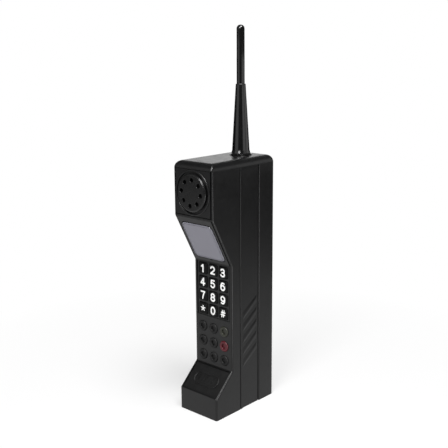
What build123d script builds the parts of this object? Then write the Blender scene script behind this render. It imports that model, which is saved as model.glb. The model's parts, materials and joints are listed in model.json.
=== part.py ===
from build123d import *

import os

os.makedirs("parts", exist_ok=True)

# Toy brick telephone, in millimetres. X runs to the right as the keypad is read, Y runs from the
# front to the back, Z runs up. The origin is on the base, under the middle of the body.

# ---------------------------------------------------------------- driving dimensions
WIDTH = 39.0
DEPTH = 73.5
BODY_HEIGHT = 198.5
WALL = 2.2
PLATE = 1.2
TOP_ROUND = 5.5
FRONT_ROUND = 1.6
REAR_ROUND = 3.0

FRONT = -DEPTH / 2
REAR = DEPTH / 2
HEAD_Y = FRONT + 2.2
CHIN_Y = FRONT + 4.8
KEYPAD_Y = FRONT + 23.0
SEAM_Y = FRONT + 33.0
BLOCK_Y = FRONT + 54.8
BEAD = 2.4
SEAM_ROUND = 0.6
SHADOW_DEEP = 0.6
SHADOW_WIDE = 0.9
PANEL_SUNK = 0.6
GROOVE_SUNK = 1.2
GROOVE_WIDE = 0.8
BLOCK_ROUND = 1.1
BEAD_BEVEL = 0.45
TONGUE_INSET = 1.1
TONGUE_LONG = 1.6
TONGUE_PLAY = 0.1

CHIN_TOP = 17.6
CHIN_SLOPE_TOP = 35.1
KEYPAD_TOP = 118.5
HEAD_BOTTOM = 157.2
SIDE_LINES_TOP = 192.6
RIB_COUNT = 5
RIB_PITCH = 9.75
RIB_TOP_Z = 79.6
RIB_RISE = 10.6
RIB_TALL = 6.2
RIB_ROOT = 0.6
RIB_RIDGE = 0.28
RIB_SLOPE = 2.6

PLATE_HALF = 17.5
RECESS_HALF = 18.5
EAR_PLATE_LOW = 158.9
EAR_PLATE_HIGH = 193.1
GRID_HALF = 16.1
GRID_LOW = 74.9
GRID_HIGH = 117.9
GRID_SUNK = 0.4
GRID_GAP = 0.8
SIDE_X = WIDTH / 2
CAVITY_X = SIDE_X - WALL

EAR_Z = 176.1
EAR_R = 14.3
EAR_SPIGOT_R = 12.9
EAR_HOLE_RING = 9.7
EAR_HOLE_R = 1.7
EAR_HOLE_TURN = -6.0

WINDOW_W = 31.4
WINDOW_H = 34.6
WINDOW_MIDDLE = 21.3
WINDOW_ROUND = 4.2
LENS_W = 32.8
LENS_H = 36.0
LENS_SUNK = 1.5
LENS_THICK = 1.0
LENS_PROUD = 0.45
LENS_GAP = 0.4
LENS_ROUND = 0.6
LENS_LINE_IN = 1.1
LENS_LINE_WIDE = 0.4
LENS_LINE_DEEP = 0.4
CARD_THICK = 0.4

CHIN_PLATE_W = 34.4
CHIN_PLATE_H = 21.8
CHIN_PLATE_LOW = 1.6
CHIN_PLATE_GAP = 0.2
CHIN_TOP_GAP = 0.9
CHIN_SUNK = 0.6
CHIN_FIELD_UP = 12.3
CHIN_FIELD_W = 25.0
CHIN_FIELD_H = 11.0
CHIN_FIELD_RIM = 1.2
CHIN_SLOTS = 5
CHIN_SLOT_PITCH = 3.4
CHIN_SLOT_LONG = 6.0
CHIN_SLOT_WIDE = 1.5

NUMBER_PITCH_X = 10.45
NUMBER_PITCH_Z = 10.84
NUMBER_TOP_Z = 112.7
NUMBER_W = 9.2
NUMBER_H = 9.4
NUMBER_GAP = 0.2
FUNCTION_PITCH_X = 11.16
FUNCTION_PITCH_Z = 11.86
FUNCTION_TOP_Z = 65.6
FUNCTION_R = 4.2
FUNCTION_GAP = 0.15
DISH_R = 1.9
DISH_DEPTH = 1.3
KEY_TRAVEL = 1.0
KEY_FLANGE = 0.8
KEY_ROUND = 0.7
PUSHER_R = 2.2
PUSHER_LONG = 0.4
MAT_Y = KEYPAD_Y + WALL + KEY_FLANGE + PUSHER_LONG + KEY_TRAVEL + 0.1
MAT_THICK = 1.0
BOARD_Y = KEYPAD_Y + 7.0
BOARD_THICK = 1.6
BOARD_LOW = 37.5
BOARD_TOP = 119.0
LAMP_Y = BOARD_Y + 0.3
LAMP_Z = 126.0
BOARD_POST_X = 5.4
BOARD_POST_R = 2.0
BOARD_PILOT_R = 0.9
BOARD_SCREW_HEAD_R = 1.8

SPEAKER_RING_R = 15.4
SPEAKER_RING_BORE_R = 14.2
SPEAKER_RING_LONG = 4.5

POCKET_HALF = 15.2
POCKET_LOW = 43.0
POCKET_HIGH = 98.0
POCKET_FLOOR_Y = 19.2
POCKET_WALL = 1.5
DOOR_THICK = 2.0
DOOR_HALF = 15.9
DOOR_LOW = 37.0
DOOR_HIGH = 108.0
DOOR_PIVOT_Z = DOOR_LOW + DOOR_THICK / 2
DOOR_SCREW_Z = 103.5
DOOR_SCREW_SEAT = 1.4
DOOR_TAB_W = 6.0
THUMB_RIDGES = 4
THUMB_PITCH = 3.0
THUMB_Z = 91.0
CELL_R = 7.25
CELL_LENGTH = 49.4
CELL_LOW = 45.4
CELL_X = 7.5
CELL_Y = POCKET_FLOOR_Y + 0.2 + CELL_R

SWITCH_Z = 118.0
SWITCH_REST_X = -2.0
GRIP_GROOVES = 8
GRIP_PITCH = 7.0
GRIP_Z = 154.0
GRIP_LONG = 28.0
GRIP_WIDE = 2.2
GRIP_DEEP = 0.5

ANTENNA_Y = 19.2
ANTENNA_TOP = 295.8
BOOT_STEP_Z = 252.4
STUB_R = 4.0
ROD_R = 3.05
ROD_SOCKET = 8.0

CASE_SCREW_X = 13.0
CASE_SCREW_ZS = (8.5, 190.8)
CASE_SCREW_Y = 2.0
CASE_POST_R = 3.2
CASE_COLUMN_R = 3.5
CASE_PILOT_R = 1.3
CASE_CLEAR_R = 1.45
CASE_HEAD_R = 2.4
POST_END_Y = SEAM_Y + 1.0
SEAT_INSET = TONGUE_INSET - TONGUE_PLAY

OUTLINE = [
    (CHIN_Y, 0),
    (CHIN_Y, CHIN_TOP),
    (KEYPAD_Y, CHIN_SLOPE_TOP),
    (KEYPAD_Y, KEYPAD_TOP),
    (HEAD_Y, HEAD_BOTTOM),
    (HEAD_Y, BODY_HEIGHT),
    (REAR, BODY_HEIGHT),
    (REAR, 0),
]
CHIN_SLOPE = (OUTLINE[1], OUTLINE[2])
DISPLAY_SLOPE = (OUTLINE[3], OUTLINE[4])

NUMBER_NAMES = [
    ["key_1", "key_2", "key_3"],
    ["key_4", "key_5", "key_6"],
    ["key_7", "key_8", "key_9"],
    ["key_star", "key_0", "key_hash"],
]
FUNCTION_NAMES = [
    ["recall_key", "clear_key", "call_key"],
    ["store_key", "lock_key", "end_key"],
    ["volume_key", "menu_key", "power_key"],
]


# ---------------------------------------------------------------- planes and places
def facing_front(y):
    """Upright plane at depth y, looked at from the front; minus its normal is into the body."""
    return Plane.XZ.offset(-y)


def on_slope(slope, sunk=0.0):
    """Plane on a slanted front face: x to the right, y up the slope, sunk below the surface."""
    low, high = slope
    rise = (0, high[0] - low[0], high[1] - low[1])
    outward = Vector(1, 0, 0).cross(Vector(*rise))
    return Plane(origin=(0, low[0], low[1]), x_dir=(1, 0, 0), z_dir=outward).offset(-sunk)


def slope_length(slope):
    low, high = slope
    return Vector(high[0] - low[0], high[1] - low[1]).length


def number_places():
    """Name, x and z of each number key, row by row from the top."""
    places = []
    for row, names in enumerate(NUMBER_NAMES):
        for column, name in enumerate(names):
            x = (column - 1) * NUMBER_PITCH_X
            places.append((name, x, NUMBER_TOP_Z - row * NUMBER_PITCH_Z))
    return places


def function_places():
    """Name, x and z of each round function key, row by row from the top."""
    places = []
    for row, names in enumerate(FUNCTION_NAMES):
        for column, name in enumerate(names):
            x = (column - 1) * FUNCTION_PITCH_X
            places.append((name, x, FUNCTION_TOP_Z - row * FUNCTION_PITCH_Z))
    return places


NUMBER_SPOTS = [(x, z) for name, x, z in number_places()]
FUNCTION_SPOTS = [(x, z) for name, x, z in function_places()]
ALL_KEY_SPOTS = NUMBER_SPOTS + FUNCTION_SPOTS

BOARD_POST_LOW_Z = FUNCTION_TOP_Z - 1.5 * FUNCTION_PITCH_Z
BOARD_POST_HIGH_Z = 72.7
BOARD_POSTS = [(side * BOARD_POST_X, z) for side in (-1, 1) for z in (BOARD_POST_LOW_Z, BOARD_POST_HIGH_Z)]
CASE_SCREWS = [(side * CASE_SCREW_X, z) for side in (-1, 1) for z in CASE_SCREW_ZS]
CELL_XS = (-CELL_X, CELL_X)
outward = Axis((0, 0, 0), on_slope(DISPLAY_SLOPE).z_dir)
chin_outward = Axis((0, 0, 0), on_slope(CHIN_SLOPE).z_dir)

# ---------------------------------------------------------------- the hollow body, before it is cut in two
with BuildSketch(Plane.YZ) as side_view:
    with BuildLine():
        Polyline(*OUTLINE, close=True)
    make_face()

cavity_view = offset(side_view.sketch, amount=-WALL, kind=Kind.INTERSECTION)

with BuildPart() as cavity:
    extrude(cavity_view, amount=CAVITY_X, both=True)
    fillet(cavity.faces().sort_by(Axis.Z)[-1].edges(), TOP_ROUND - WALL)

with BuildPart() as body:
    extrude(side_view.sketch, amount=SIDE_X, both=True)
    fillet(body.faces().sort_by(Axis.Z)[-1].edges(), TOP_ROUND)
    side_edges = body.edges().filter_by(lambda e: abs(abs(e.center().X) - SIDE_X) < 0.01)
    long_edges = side_edges.filter_by(lambda e: abs(e.tangent_at(0.5).Z) > 0.5)
    front_edges = long_edges.filter_by(lambda e: e.center().Y < SEAM_Y)
    fillet(front_edges, FRONT_ROUND)
    rear_edges = body.edges().filter_by(Axis.Z).filter_by(lambda e: e.center().Y > REAR - 0.01)
    fillet(rear_edges, REAR_ROUND)
    add(cavity.part, mode=Mode.SUBTRACT)

# ---------------------------------------------------------------- front shell
with BuildPart() as front_shell:
    add(body.part)
    split(bisect_by=facing_front(SEAM_Y), keep=Keep.TOP)
    # tongue that centres the rear shell
    with BuildSketch(facing_front(SEAM_Y)):
        with Locations((0, BODY_HEIGHT / 2)):
            RectangleRounded(
                WIDTH - 2 * TONGUE_INSET,
                BODY_HEIGHT - 2 * TONGUE_INSET,
                TOP_ROUND - TONGUE_INSET,
            )
            RectangleRounded(2 * CAVITY_X, BODY_HEIGHT - 2 * WALL, TOP_ROUND - WALL, mode=Mode.SUBTRACT)
    extrude(amount=-TONGUE_LONG)
    # shadow line beside the seam, on the two sides only
    with BuildSketch(Plane.XY):
        with Locations((SIDE_X, SEAM_Y), (-SIDE_X, SEAM_Y)):
            Rectangle(2 * SHADOW_DEEP, 2 * SHADOW_WIDE)
    extrude(amount=SIDE_LINES_TOP, mode=Mode.SUBTRACT)
    # ledge that carries the display window
    with BuildSketch(on_slope(DISPLAY_SLOPE, WALL)):
        with Locations((0, WINDOW_MIDDLE)):
            Rectangle(LENS_W + 1.6, LENS_H + 2.0)
    extrude(amount=-1.8)
    # ring that holds the speaker
    with BuildSketch(facing_front(HEAD_Y + WALL)):
        with Locations((0, EAR_Z)):
            Circle(SPEAKER_RING_R)
            Circle(SPEAKER_RING_BORE_R, mode=Mode.SUBTRACT)
    extrude(amount=-SPEAKER_RING_LONG)
    # posts for the case screws and the board screws
    with BuildSketch(facing_front(POST_END_Y)):
        with Locations(*CASE_SCREWS):
            Circle(CASE_POST_R)
    extrude(until=Until.NEXT)
    with BuildSketch(facing_front(BOARD_Y)):
        with Locations(*BOARD_POSTS):
            Circle(BOARD_POST_R)
    extrude(until=Until.NEXT)
    with BuildSketch(facing_front(POST_END_Y)):
        with Locations(*CASE_SCREWS):
            Circle(CASE_PILOT_R)
    extrude(amount=10.0, mode=Mode.SUBTRACT)
    with BuildSketch(facing_front(BOARD_Y)):
        with Locations(*BOARD_POSTS):
            Circle(BOARD_PILOT_R)
    extrude(amount=5.0, mode=Mode.SUBTRACT)
    # shallow recesses for the three front plates and the chin plate
    with BuildSketch(facing_front(HEAD_Y)):
        with Locations((0, EAR_PLATE_LOW - 0.6)):
            Rectangle(2 * RECESS_HALF, EAR_PLATE_HIGH + 0.9 - EAR_PLATE_LOW, align=(Align.CENTER, Align.MIN))
    extrude(amount=-PLATE, mode=Mode.SUBTRACT)
    with BuildSketch(on_slope(DISPLAY_SLOPE)):
        with Locations((0, 0.6)):
            Rectangle(2 * RECESS_HALF, slope_length(DISPLAY_SLOPE) - 0.9, align=(Align.CENTER, Align.MIN))
    extrude(amount=-PLATE, mode=Mode.SUBTRACT)
    with BuildSketch(facing_front(KEYPAD_Y)):
        with Locations((0, GRID_LOW - 0.3)):
            Rectangle(2 * (GRID_HALF + GRID_GAP), GRID_HIGH - GRID_LOW + 0.8, align=(Align.CENTER, Align.MIN))
    extrude(amount=-PLATE, mode=Mode.SUBTRACT)
    with BuildSketch(on_slope(CHIN_SLOPE)):
        with Locations((0, CHIN_PLATE_LOW - CHIN_PLATE_GAP)):
            Rectangle(
                CHIN_PLATE_W + 2 * CHIN_PLATE_GAP,
                CHIN_PLATE_H + CHIN_PLATE_GAP + CHIN_TOP_GAP,
                align=(Align.CENTER, Align.MIN),
            )
    extrude(amount=-PLATE, mode=Mode.SUBTRACT)
    # window seat and window
    with BuildSketch(on_slope(DISPLAY_SLOPE)):
        with Locations((0, WINDOW_MIDDLE)):
            RectangleRounded(LENS_W + 0.2, LENS_H + 0.2, WINDOW_ROUND)
    extrude(amount=-(LENS_SUNK + LENS_THICK + CARD_THICK), mode=Mode.SUBTRACT)
    with BuildSketch(on_slope(DISPLAY_SLOPE)):
        with Locations((0, WINDOW_MIDDLE)):
            RectangleRounded(WINDOW_W - 1.6, WINDOW_H - 1.6, WINDOW_ROUND)
    extrude(amount=-8.0, mode=Mode.SUBTRACT)
    # openings for the ear cap and the keys
    with BuildSketch(facing_front(HEAD_Y)):
        with Locations((0, EAR_Z)):
            Circle(EAR_SPIGOT_R + 0.05)
    extrude(amount=-WALL, mode=Mode.SUBTRACT)
    with BuildSketch(facing_front(KEYPAD_Y)):
        with Locations(*NUMBER_SPOTS):
            RectangleRounded(NUMBER_W + 2 * NUMBER_GAP, NUMBER_H + 2 * NUMBER_GAP, 1.6)
    extrude(amount=-WALL, mode=Mode.SUBTRACT)
    with BuildSketch(facing_front(KEYPAD_Y)):
        with Locations(*FUNCTION_SPOTS):
            Circle(FUNCTION_R + FUNCTION_GAP)
    extrude(amount=-WALL, mode=Mode.SUBTRACT)
front_shell.part.label = "front_shell"
export_step(front_shell.part, "parts/front_shell.step")

# ---------------------------------------------------------------- rear shell
def rib_outline(row, inset):
    """Corners of a side rib's outline at one depth, drawn in by inset; y runs back and z up."""
    low = (SEAM_Y + BEAD + 0.5 + inset * 0.5, RIB_TOP_Z - RIB_PITCH * row - inset)
    high = (BLOCK_Y - 2.0 - inset * 0.5, RIB_TOP_Z + RIB_RISE - RIB_PITCH * row - inset)
    tall = RIB_TALL - 2 * inset
    return [low, high, (high[0], high[1] - tall), (low[0], low[1] - tall)]


def side_uprights(shell, y):
    """Upright edges at depth y on the shell's two outermost side faces."""
    uprights = shell.edges().filter_by(Axis.Z).filter_by(lambda e: abs(e.center().Y - y) < 0.01)
    return uprights.filter_by(lambda e: abs(e.center().X) > SIDE_X - 0.01)


with BuildPart() as rear_shell:
    add(body.part)
    split(bisect_by=facing_front(SEAM_Y), keep=Keep.BOTTOM)
    # seat for the front shell's tongue
    with BuildSketch(facing_front(SEAM_Y)):
        with Locations((0, BODY_HEIGHT / 2)):
            RectangleRounded(WIDTH - 2 * SEAT_INSET, BODY_HEIGHT - 2 * SEAT_INSET, TOP_ROUND - SEAT_INSET)
    extrude(amount=-(TONGUE_LONG + TONGUE_PLAY), mode=Mode.SUBTRACT)
    # rounded edge beside the shadow line
    with BuildSketch(Plane.XY):
        for side in (-1, 1):
            with Locations((side * SIDE_X, SEAM_Y)):
                Rectangle(2 * SEAM_ROUND, 2 * SEAM_ROUND)
        for side in (-1, 1):
            with Locations((side * (SIDE_X - SEAM_ROUND), SEAM_Y + SEAM_ROUND)):
                Circle(SEAM_ROUND, mode=Mode.SUBTRACT)
    extrude(amount=SIDE_LINES_TOP, mode=Mode.SUBTRACT)
    # sunk side panels, with a deeper groove where the rear block starts
    with BuildSketch(Plane.XY):
        with Locations((SIDE_X, 0), (-SIDE_X, 0)):
            with Locations((0, (SEAM_Y + BEAD + BLOCK_Y) / 2)):
                Rectangle(2 * PANEL_SUNK, BLOCK_Y - SEAM_Y - BEAD)
            with Locations((0, BLOCK_Y - GROOVE_WIDE / 2)):
                Rectangle(2 * GROOVE_SUNK, GROOVE_WIDE)
    extrude(amount=SIDE_LINES_TOP, mode=Mode.SUBTRACT)
    fillet(side_uprights(rear_shell, BLOCK_Y), BLOCK_ROUND)
    chamfer(side_uprights(rear_shell, SEAM_Y + BEAD), BEAD_BEVEL)
    # five slanted grip ribs in each side panel, each a low roof with a narrow ridge
    for row in range(RIB_COUNT):
        for depth, inset in ((RIB_ROOT, 0.0), (RIB_RIDGE, RIB_SLOPE)):
            with BuildSketch(Plane.YZ.offset(SIDE_X - depth)):
                with BuildLine():
                    Polyline(*rib_outline(row, inset), close=True)
                make_face()
        loft(ruled=True)
    mirror(about=Plane.YZ)
    # battery pocket
    with BuildSketch(facing_front(POCKET_FLOOR_Y - POCKET_WALL)):
        with Locations((0, (POCKET_LOW + POCKET_HIGH) / 2)):
            Rectangle(2 * (POCKET_HALF + POCKET_WALL), POCKET_HIGH - POCKET_LOW + 2 * POCKET_WALL)
    extrude(amount=-(REAR - DOOR_THICK - 0.05 - POCKET_FLOOR_Y + POCKET_WALL))
    with BuildSketch(facing_front(REAR - DOOR_THICK - 1.3)):
        with Locations((0, 104.0)):
            Rectangle(2 * CAVITY_X, 12.0)
        with Locations((0, (POCKET_LOW + POCKET_HIGH) / 2)):
            Rectangle(2 * CAVITY_X, POCKET_HIGH - POCKET_LOW)
    extrude(amount=-1.25)
    # columns for the case screws, boss for the door screw, bush for the antenna stub
    with BuildSketch(facing_front(POST_END_Y)):
        with Locations(*CASE_SCREWS):
            Circle(CASE_COLUMN_R)
    extrude(amount=-(REAR - 1.0 - POST_END_Y))
    with BuildSketch(facing_front(27.0)):
        with Locations((0, DOOR_SCREW_Z)):
            Circle(3.0)
    extrude(amount=-(REAR - DOOR_THICK - 0.05 - 27.0))
    with BuildSketch(Plane.XY.offset(BODY_HEIGHT - WALL - 5.0)):
        with Locations((0, ANTENNA_Y)):
            Circle(7.0)
    extrude(amount=6.0)
    # hollows
    with BuildSketch(facing_front(POCKET_FLOOR_Y)):
        with Locations((0, (POCKET_LOW + POCKET_HIGH) / 2)):
            Rectangle(2 * POCKET_HALF, POCKET_HIGH - POCKET_LOW)
    extrude(amount=-20.0, mode=Mode.SUBTRACT)
    with BuildSketch(facing_front(REAR - WALL - 0.05)):
        with Locations((0, (DOOR_LOW + DOOR_HIGH) / 2)):
            Rectangle(2 * DOOR_HALF + 0.4, DOOR_HIGH - DOOR_LOW + 0.4)
    extrude(amount=-4.0, mode=Mode.SUBTRACT)
    with BuildSketch(facing_front(28.0)):
        with Locations((0, DOOR_SCREW_Z)):
            Circle(1.4)
    extrude(amount=-10.0, mode=Mode.SUBTRACT)
    with BuildSketch(facing_front(POST_END_Y)):
        with Locations(*CASE_SCREWS):
            Circle(CASE_CLEAR_R)
    extrude(amount=-40.0, mode=Mode.SUBTRACT)
    with BuildSketch(facing_front(CASE_SCREW_Y)):
        with Locations(*CASE_SCREWS):
            Circle(CASE_HEAD_R + 0.2)
    extrude(amount=-40.0, mode=Mode.SUBTRACT)
    with BuildSketch(Plane.XY.offset(BODY_HEIGHT - WALL - 6.0)):
        with Locations((0, ANTENNA_Y)):
            Circle(STUB_R + 0.05)
    extrude(amount=10.0, mode=Mode.SUBTRACT)
    # dish and slot for the power switch
    with BuildSketch(facing_front(REAR - 0.8)):
        with Locations((0, SWITCH_Z)):
            SlotOverall(19.0, 9.0)
    extrude(amount=-2.0, mode=Mode.SUBTRACT)
    with BuildSketch(facing_front(REAR - WALL)):
        with Locations((0, SWITCH_Z)):
            RectangleRounded(10.0, 4.8, 0.6)
    extrude(amount=-3.0, mode=Mode.SUBTRACT)
    # grip grooves across the back
    with BuildSketch(facing_front(REAR - GRIP_DEEP)):
        with GridLocations(0, GRIP_PITCH, 1, GRIP_GROOVES):
            with Locations((0, GRIP_Z)):
                SlotOverall(GRIP_LONG, GRIP_WIDE)
    extrude(amount=-2.0, mode=Mode.SUBTRACT)
rear_shell.part.label = "rear_shell"
export_step(rear_shell.part, "parts/rear_shell.step")

# ---------------------------------------------------------------- front plates
with BuildPart() as ear_plate:
    with BuildSketch(facing_front(HEAD_Y + PLATE)):
        with Locations((0, EAR_PLATE_LOW)):
            Rectangle(2 * PLATE_HALF, EAR_PLATE_HIGH - EAR_PLATE_LOW, align=(Align.CENTER, Align.MIN))
        with Locations((0, EAR_Z)):
            Circle(EAR_SPIGOT_R + 0.05, mode=Mode.SUBTRACT)
    extrude(amount=PLATE)
    with BuildSketch(facing_front(HEAD_Y + 0.6)):
        with Locations((0, EAR_Z)):
            Circle(15.8)
    extrude(amount=2.0, mode=Mode.SUBTRACT)
    with BuildSketch(facing_front(HEAD_Y + 0.1)):
        with Locations((0, EAR_Z)):
            Circle(17.2)
            Circle(15.8, mode=Mode.SUBTRACT)
    extrude(amount=0.8)
    ring_edges = ear_plate.edges().filter_by(GeomType.CIRCLE).sort_by(Axis.Y)[0:2]
    fillet(ring_edges, 0.5)
ear_plate.part.label = "ear_plate"
export_step(ear_plate.part, "parts/ear_plate.step")

with BuildPart() as ear_cap:
    with BuildSketch(facing_front(HEAD_Y + WALL)):
        with Locations((0, EAR_Z)):
            Circle(EAR_SPIGOT_R)
    extrude(amount=HEAD_Y + WALL - FRONT)
    with BuildSketch(facing_front(HEAD_Y + 0.6)):
        with Locations((0, EAR_Z)):
            Circle(EAR_R)
    extrude(amount=HEAD_Y + 0.6 - FRONT)
    fillet(ear_cap.edges().filter_by(GeomType.CIRCLE).sort_by(Axis.Y)[0], 1.3)
    with BuildSketch(facing_front(HEAD_Y + WALL)):
        with Locations((0, EAR_Z)):
            Circle(11.6)
    extrude(amount=2.0, mode=Mode.SUBTRACT)
    with BuildSketch(facing_front(FRONT)):
        with Locations((0, EAR_Z)):
            with PolarLocations(EAR_HOLE_RING, 8, start_angle=EAR_HOLE_TURN):
                Circle(EAR_HOLE_R)
    extrude(amount=-5.0, mode=Mode.SUBTRACT)
    hole_rims = ear_cap.edges().filter_by(GeomType.CIRCLE).filter_by(
        lambda e: abs(e.radius - EAR_HOLE_R) < 0.01 and e.center().Y < FRONT + 0.01
    )
    fillet(hole_rims, 0.3)
ear_cap.part.label = "ear_cap"
export_step(ear_cap.part, "parts/ear_cap.step")

with BuildPart() as display_frame:
    with BuildSketch(on_slope(DISPLAY_SLOPE, PLATE)):
        with Locations((0, 0.9)):
            Rectangle(2 * PLATE_HALF, slope_length(DISPLAY_SLOPE) - 1.5, align=(Align.CENTER, Align.MIN))
        with Locations((0, WINDOW_MIDDLE)):
            RectangleRounded(WINDOW_W, WINDOW_H, WINDOW_ROUND, mode=Mode.SUBTRACT)
        with Locations((0, WINDOW_MIDDLE - WINDOW_H / 2)):
            Rectangle(1.6, 1.6, mode=Mode.SUBTRACT)
    extrude(amount=PLATE)
    chamfer(display_frame.faces().sort_by(outward)[-1].inner_wires()[0].edges(), 0.3)
display_frame.part.label = "display_frame"
export_step(display_frame.part, "parts/display_frame.step")

with BuildPart() as keypad_frame:
    with BuildSketch(facing_front(KEYPAD_Y + PLATE)):
        with Locations((0, GRID_LOW)):
            Rectangle(2 * GRID_HALF, GRID_HIGH - GRID_LOW, align=(Align.CENTER, Align.MIN))
        with Locations(*NUMBER_SPOTS):
            RectangleRounded(NUMBER_W + 2 * NUMBER_GAP, NUMBER_H + 2 * NUMBER_GAP, 1.6, mode=Mode.SUBTRACT)
    extrude(amount=PLATE - GRID_SUNK)
keypad_frame.part.label = "keypad_frame"
export_step(keypad_frame.part, "parts/keypad_frame.step")

with BuildPart() as chin_plate:
    with BuildSketch(on_slope(CHIN_SLOPE, PLATE)):
        with Locations((0, CHIN_PLATE_LOW)):
            Rectangle(CHIN_PLATE_W, CHIN_PLATE_H, align=(Align.CENTER, Align.MIN))
    extrude(amount=PLATE - CHIN_SUNK)
    # raised rounded field with blind slots, where a microphone would be
    with BuildSketch(on_slope(CHIN_SLOPE, CHIN_SUNK + 0.1)):
        with Locations((0, CHIN_FIELD_UP)):
            SlotOverall(CHIN_FIELD_W, CHIN_FIELD_H)
            SlotOverall(
                CHIN_FIELD_W - 2 * CHIN_FIELD_RIM,
                CHIN_FIELD_H - 2 * CHIN_FIELD_RIM,
                mode=Mode.SUBTRACT,
            )
    extrude(amount=0.7)
    fillet(chin_plate.faces().sort_by(chin_outward)[-1].edges(), 0.3)
    with BuildSketch(on_slope(CHIN_SLOPE, PLATE - 0.25)):
        with Locations((0, CHIN_FIELD_UP)):
            with GridLocations(CHIN_SLOT_PITCH, 0, CHIN_SLOTS, 1):
                SlotOverall(CHIN_SLOT_LONG, CHIN_SLOT_WIDE, rotation=90)
    extrude(amount=2.0, mode=Mode.SUBTRACT)
chin_plate.part.label = "chin_plate"
export_step(chin_plate.part, "parts/chin_plate.step")

# ---------------------------------------------------------------- display window and its card
with BuildPart() as display_lens:
    with BuildSketch(on_slope(DISPLAY_SLOPE, LENS_SUNK)):
        with Locations((0, WINDOW_MIDDLE)):
            RectangleRounded(LENS_W, LENS_H, WINDOW_ROUND)
    extrude(amount=-LENS_THICK)
    # raised middle that fills the frame's opening and stands a little proud
    with BuildSketch(on_slope(DISPLAY_SLOPE, LENS_SUNK)):
        with Locations((0, WINDOW_MIDDLE)):
            RectangleRounded(WINDOW_W - 2 * LENS_GAP, WINDOW_H - 2 * LENS_GAP, WINDOW_ROUND - LENS_GAP)
    extrude(amount=LENS_SUNK + LENS_PROUD)
    fillet(display_lens.faces().sort_by(outward)[-1].edges(), LENS_ROUND)
    # fine line that sets off a border all round
    with BuildSketch(on_slope(DISPLAY_SLOPE, LENS_LINE_DEEP - LENS_PROUD)):
        with Locations((0, WINDOW_MIDDLE)):
            for inset, mode in ((LENS_LINE_IN, Mode.ADD), (LENS_LINE_IN + LENS_LINE_WIDE, Mode.SUBTRACT)):
                edge = LENS_GAP + inset
                RectangleRounded(WINDOW_W - 2 * edge, WINDOW_H - 2 * edge, WINDOW_ROUND - edge, mode=mode)
    extrude(amount=1.0, mode=Mode.SUBTRACT)
display_lens.part.label = "display_lens"
export_step(display_lens.part, "parts/display_lens.step")

with BuildPart() as display_card:
    with BuildSketch(on_slope(DISPLAY_SLOPE, LENS_SUNK + LENS_THICK)):
        with Locations((0, WINDOW_MIDDLE)):
            RectangleRounded(LENS_W, LENS_H, WINDOW_ROUND)
    extrude(amount=-CARD_THICK)
display_card.part.label = "display_card"
export_step(display_card.part, "parts/display_card.step")


# ---------------------------------------------------------------- keys
def make_number_key(name, x, z):
    """Square pillow key with a flange behind the shell wall that keeps it in."""
    crown_y = KEYPAD_Y - 0.4
    flange_y = KEYPAD_Y + WALL
    with BuildPart() as key:
        with BuildSketch(facing_front(flange_y)):
            with Locations((x, z)):
                RectangleRounded(NUMBER_W, NUMBER_H, 1.4)
        extrude(amount=flange_y - crown_y)
        fillet(key.faces().sort_by(Axis.Y)[0].edges(), KEY_ROUND)
        with BuildSketch(facing_front(flange_y)):
            with Locations((x, z)):
                RectangleRounded(NUMBER_W + 0.8, NUMBER_H + 0.9, 1.2)
        extrude(amount=-KEY_FLANGE)
        with BuildSketch(facing_front(flange_y + KEY_FLANGE)):
            with Locations((x, z)):
                Circle(PUSHER_R)
        extrude(amount=-PUSHER_LONG)
    key.part.label = name
    export_step(key.part, f"parts/{name}.step")


def make_function_key(name, x, z):
    """Round key with a rolled rim round a sunk middle, flanged behind the shell wall."""
    rim_y = KEYPAD_Y - 0.9
    flange_y = KEYPAD_Y + WALL
    with BuildPart() as key:
        with BuildSketch(facing_front(flange_y)):
            with Locations((x, z)):
                Circle(FUNCTION_R)
        extrude(amount=flange_y - rim_y)
        with BuildSketch(facing_front(rim_y)):
            with Locations((x, z)):
                Circle(DISH_R)
        extrude(amount=-DISH_DEPTH, mode=Mode.SUBTRACT)
        fillet(key.faces().sort_by(Axis.Y)[0].edges(), KEY_ROUND)
        with BuildSketch(facing_front(flange_y)):
            with Locations((x, z)):
                Circle(FUNCTION_R + 0.7)
        extrude(amount=-KEY_FLANGE)
        with BuildSketch(facing_front(flange_y + KEY_FLANGE)):
            with Locations((x, z)):
                Circle(PUSHER_R)
        extrude(amount=-PUSHER_LONG)
    key.part.label = name
    export_step(key.part, f"parts/{name}.step")


for name, x, z in number_places():
    make_number_key(name, x, z)
for name, x, z in function_places():
    make_function_key(name, x, z)

# ---------------------------------------------------------------- key mat, contacts and circuit board
with BuildPart() as keypad_mat:
    with BuildSketch(facing_front(MAT_Y)):
        with Locations((0, BOARD_LOW)):
            Rectangle(31.6, 81.0, align=(Align.CENTER, Align.MIN))
        with Locations(*BOARD_POSTS):
            Circle(2.2, mode=Mode.SUBTRACT)
    extrude(amount=-MAT_THICK)
    # short feet that stand the mat off the board
    with BuildSketch(facing_front(MAT_Y + MAT_THICK)):
        with GridLocations(30.0, 78.0, 2, 2):
            with Locations((0, 78.0)):
                Circle(0.7)
    extrude(amount=-(BOARD_Y - MAT_Y - MAT_THICK))
keypad_mat.part.label = "keypad_mat"
export_step(keypad_mat.part, "parts/keypad_mat.step")

with BuildPart() as contact_pills:
    with BuildSketch(facing_front(MAT_Y + MAT_THICK)):
        with Locations(*ALL_KEY_SPOTS):
            Circle(1.6)
    extrude(amount=-0.4)
contact_pills.part.label = "contact_pills"
export_step(contact_pills.part, "parts/contact_pills.step")

with BuildPart() as main_board:
    with BuildSketch(facing_front(BOARD_Y)):
        with Locations((0, BOARD_LOW)):
            Rectangle(32.0, BOARD_TOP - BOARD_LOW, align=(Align.CENTER, Align.MIN))
        with Locations(*BOARD_POSTS):
            Circle(1.1, mode=Mode.SUBTRACT)
    extrude(amount=-BOARD_THICK)
main_board.part.label = "main_board"
export_step(main_board.part, "parts/main_board.step")

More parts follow.
